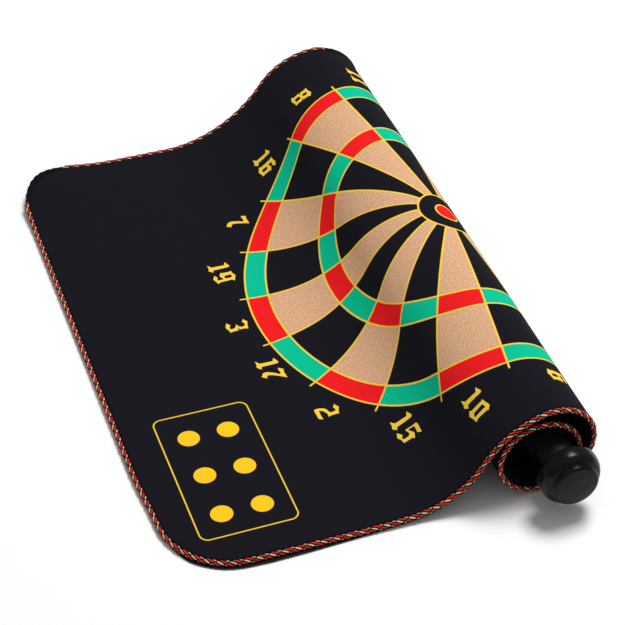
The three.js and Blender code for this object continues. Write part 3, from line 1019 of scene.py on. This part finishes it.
def sleeve_route():
    """The sleeve's middle line in the x-z plane: along the back of the mat, then round the tube."""
    route = []
    for k in range(TAIL_POINTS):
        s = MAT_LENGTH - SLEEVE_TAIL * (1 - k / TAIL_POINTS)
        x, _, z = mat_points(s, 0, SLEEVE_TAIL_DEPTH)
        route.append((x, z))
    for angle in np.linspace(0, -SLEEVE_WRAP, WRAP_POINTS):
        route.append((TUBE_X + SLEEVE_RADIUS * math.cos(angle), TUBE_Z + SLEEVE_RADIUS * math.sin(angle)))
    return smooth_line(route, SLEEVE_ROWS)


def sleeve_piece():
    """The sleeve as a closed thin sheet with soft creases, and the length of its cloth."""
    route = sleeve_route()
    tangent = np.gradient(route, axis=0)
    tangent /= np.linalg.norm(tangent, axis=1, keepdims=True)
    normal = np.stack([-tangent[:, 1], tangent[:, 0]], 1)
    y = np.linspace(-SLEEVE_HALF_LENGTH, SLEEVE_HALF_LENGTH, SLEEVE_COLUMNS)
    length = np.cumsum(np.linalg.norm(np.gradient(route, axis=0), axis=1))
    fullness = np.clip((length - SLEEVE_TAIL) / CREASE_START, 0, 1)[:, None]
    crease = CREASE_HEIGHT * np.sin(y / 9 + 3 * np.sin(y / 31)) * np.sin(length[:, None] / 6 + y / 23)
    grids = []
    for side in (1, -1):
        offset = side * SLEEVE_HALF_CLOTH + crease * fullness
        x = route[:, 0:1] + normal[:, 0:1] * offset
        z = route[:, 1:2] + normal[:, 1:2] * offset
        grids.append(np.stack([x, y + 0 * x, z], -1))
    top, bottom, walls = sheet_faces(SLEEVE_ROWS, SLEEVE_COLUMNS)
    cloth = np.stack([length[:, None] + 0 * y, y + 0 * length[:, None], 0 * grids[0][..., 0]], -1)
    cloth = cloth.reshape(-1, 3)
    points = np.concatenate([grid.reshape(-1, 3) for grid in grids])
    piece = make_object("tube_sleeve_cloth", points, top + bottom + walls, [SLEEVE_CLOTH], None,
                        {"cloth": np.concatenate([cloth, cloth])})
    fix_normals(piece)
    return piece, float(length[-1])


sleeve, sleeve_length = sleeve_piece()
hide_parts("tube_sleeve")
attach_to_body(sleeve, "roll")


CORNER_SHARE = 0.45  # of a side that the curve at its corner may take up


def rounded(outline, radius, steps):
    """The outline with each corner replaced by a short curve."""
    points = [np.array(p, float) for p in outline]
    result = [points[0]]
    for before, corner, after in zip(points, points[1:], points[2:]):
        ends = []
        for other in (before, after):
            reach = np.linalg.norm(other - corner)
            ends.append(corner + (other - corner) * min(radius, CORNER_SHARE * reach) / reach)
        for t in np.linspace(0, 1, steps + 1):
            result.append((1 - t) ** 2 * ends[0] + 2 * t * (1 - t) * corner + t ** 2 * ends[1])
    return [*result, points[-1]]


LATHE_SIDES = 128


def lathe(name, outline, material, side=1, base=0.0):
    """Turns an outline of (radius, distance along the tube) points round the tube's axis."""
    outline = np.array(outline)
    angle = np.linspace(0, 2 * math.pi, LATHE_SIDES, endpoint=False)
    radius = outline[:, 0:1]
    x = TUBE_X + radius * np.cos(angle)
    z = TUBE_Z + radius * np.sin(angle)
    y = side * (base + outline[:, 1:2]) + 0 * angle
    points = np.stack([x, y, z], -1).reshape(-1, 3)
    faces = grid_faces(len(outline), LATHE_SIDES, wrap=True)
    piece = make_object(name, points, faces, [material])
    fix_normals(piece, weld=True)
    return piece


# Outlines are (radius, distance along the tube) from one end of the axis, or of the bore, to the other.
TUBE_OUTLINE = [
    (TUBE_BORE, 0), (TUBE_BORE, -TUBE_HALF_LENGTH), (TUBE_RADIUS, -TUBE_HALF_LENGTH),
    (TUBE_RADIUS, TUBE_HALF_LENGTH), (TUBE_BORE, TUBE_HALF_LENGTH), (TUBE_BORE, 0),
]
TUBE_ROUNDING = 0.35
tube = lathe("hanging_tube_body", rounded(TUBE_OUTLINE, TUBE_ROUNDING, 4), TUBE_PLASTIC)
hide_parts("hanging_tube")
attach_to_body(tube, "tube")

CAP_OUTLINE = [
    (0, -2), (5.6, -2), (5.6, -14), (7.4, -14), (7.4, 0), (16.6, 0), (17.9, 0.9), (17.9, 4.2), (17.4, 7.4),
    (15.8, 10.2), (13.7, 11.3), (13.2, 11.8), (13.6, 12.3), (13.6, 13.3), (12.6, 14.5), (7, 15.2), (0, 15.3),
]
CAP_ROUNDING = 1.2
CAP_GAP = 0.4  # between the cap's shoulder and the end of the tube
CAP_BASE = TUBE_HALF_LENGTH + CAP_GAP
for end, side in (("near", -1), ("far", 1)):
    cap = lathe(f"cap_{end}", rounded(CAP_OUTLINE, CAP_ROUNDING, 6), CAP_PLASTIC, side, CAP_BASE)
    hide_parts(f"end_cap_{end}")
    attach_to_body(cap, f"cap_{end}")

# ---- Camera, floor and light ----

CAMERA_PLACE = (-289.64, -902.74, 785.18)
CAMERA_ANGLES = (-19.091, 39.503, -0.171)  # azimuth, elevation and roll, in degrees
FOCAL_PIXELS = 1997.9  # focal length in pixels of a frame of FRAME_PIXELS
FRAME_PIXELS = 625
SENSOR_WIDTH = 36
FLOOR_SIZE = 12
FLOOR_DROP = 0.0004  # below the table plane, so that it never meets the mat
FLOOR_GREY = 0.93
KEY_PLACE = (0.75, 0.25, 2.2)
KEY_TARGET = (0, 0, 0.02)
KEY_SIZE = 0.8
KEY_POWER = 47
SKY_LOW, SKY_HIGH = 0.3, 0.4  # strength of the sky at the horizon and overhead


def add_camera():
    place = Vector(CAMERA_PLACE) * MM
    azimuth, elevation, roll = (math.radians(a) for a in CAMERA_ANGLES)
    forward = Vector((-math.sin(azimuth) * math.cos(elevation), math.cos(azimuth) * math.cos(elevation),
                      -math.sin(elevation)))
    right = forward.cross(Vector((0, 0, 1))).normalized()
    up = right.cross(forward)
    right, up = (right * math.cos(roll) + up * math.sin(roll), up * math.cos(roll) - right * math.sin(roll))
    camera = bpy.data.objects.new("camera", bpy.data.cameras.new("camera"))
    camera.data.lens = SENSOR_WIDTH * FOCAL_PIXELS / FRAME_PIXELS
    camera.data.sensor_width = SENSOR_WIDTH
    camera.data.clip_start, camera.data.clip_end = 0.01, 50
    camera.matrix_world = Matrix((
        (right.x, up.x, -forward.x, place.x),
        (right.y, up.y, -forward.y, place.y),
        (right.z, up.z, -forward.z, place.z),
        (0, 0, 0, 1),
    ))
    bpy.context.scene.collection.objects.link(camera)
    bpy.context.scene.camera = camera


def add_floor():
    shader = Shader("floor", 0.1)
    shader.rough(0.9)
    shader.colour((FLOOR_GREY, FLOOR_GREY, FLOOR_GREY, 1))
    bpy.ops.mesh.primitive_plane_add(size=FLOOR_SIZE, location=(0, 0, -FLOOR_DROP))
    floor = bpy.context.object
    floor.name = "floor"
    floor.data.materials.append(shader.material)


def add_key_light():
    """One soft light from above and behind the roll."""
    lamp = bpy.data.lights.new("key", "AREA")
    lamp.shape = "RECTANGLE"
    lamp.size, lamp.size_y = KEY_SIZE, KEY_SIZE
    lamp.energy = KEY_POWER
    light = bpy.data.objects.new("key", lamp)
    light.location = KEY_PLACE
    light.rotation_euler = (Vector(KEY_TARGET) - Vector(KEY_PLACE)).to_track_quat("-Z", "Y").to_euler()
    bpy.context.scene.collection.objects.link(light)


def add_sky():
    """An even white sky, a little stronger overhead."""
    world = bpy.data.worlds.new("studio")
    world.use_nodes = True
    tree = world.node_tree
    background = tree.nodes["Background"]
    background.inputs["Color"].default_value = (1, 1, 1, 1)
    place = tree.nodes.new("ShaderNodeTexCoord")
    height = tree.nodes.new("ShaderNodeSeparateXYZ")
    strength = tree.nodes.new("ShaderNodeMapRange")
    strength.inputs["To Min"].default_value = SKY_LOW
    strength.inputs["To Max"].default_value = SKY_HIGH
    tree.links.new(place.outputs["Generated"], height.inputs[0])
    tree.links.new(height.outputs["Z"], strength.inputs["Value"])
    tree.links.new(strength.outputs[0], background.inputs["Strength"])
    bpy.context.scene.world = world


add_camera()
add_floor()
add_key_light()
add_sky()
bpy.context.scene.view_settings.view_transform = "Standard"
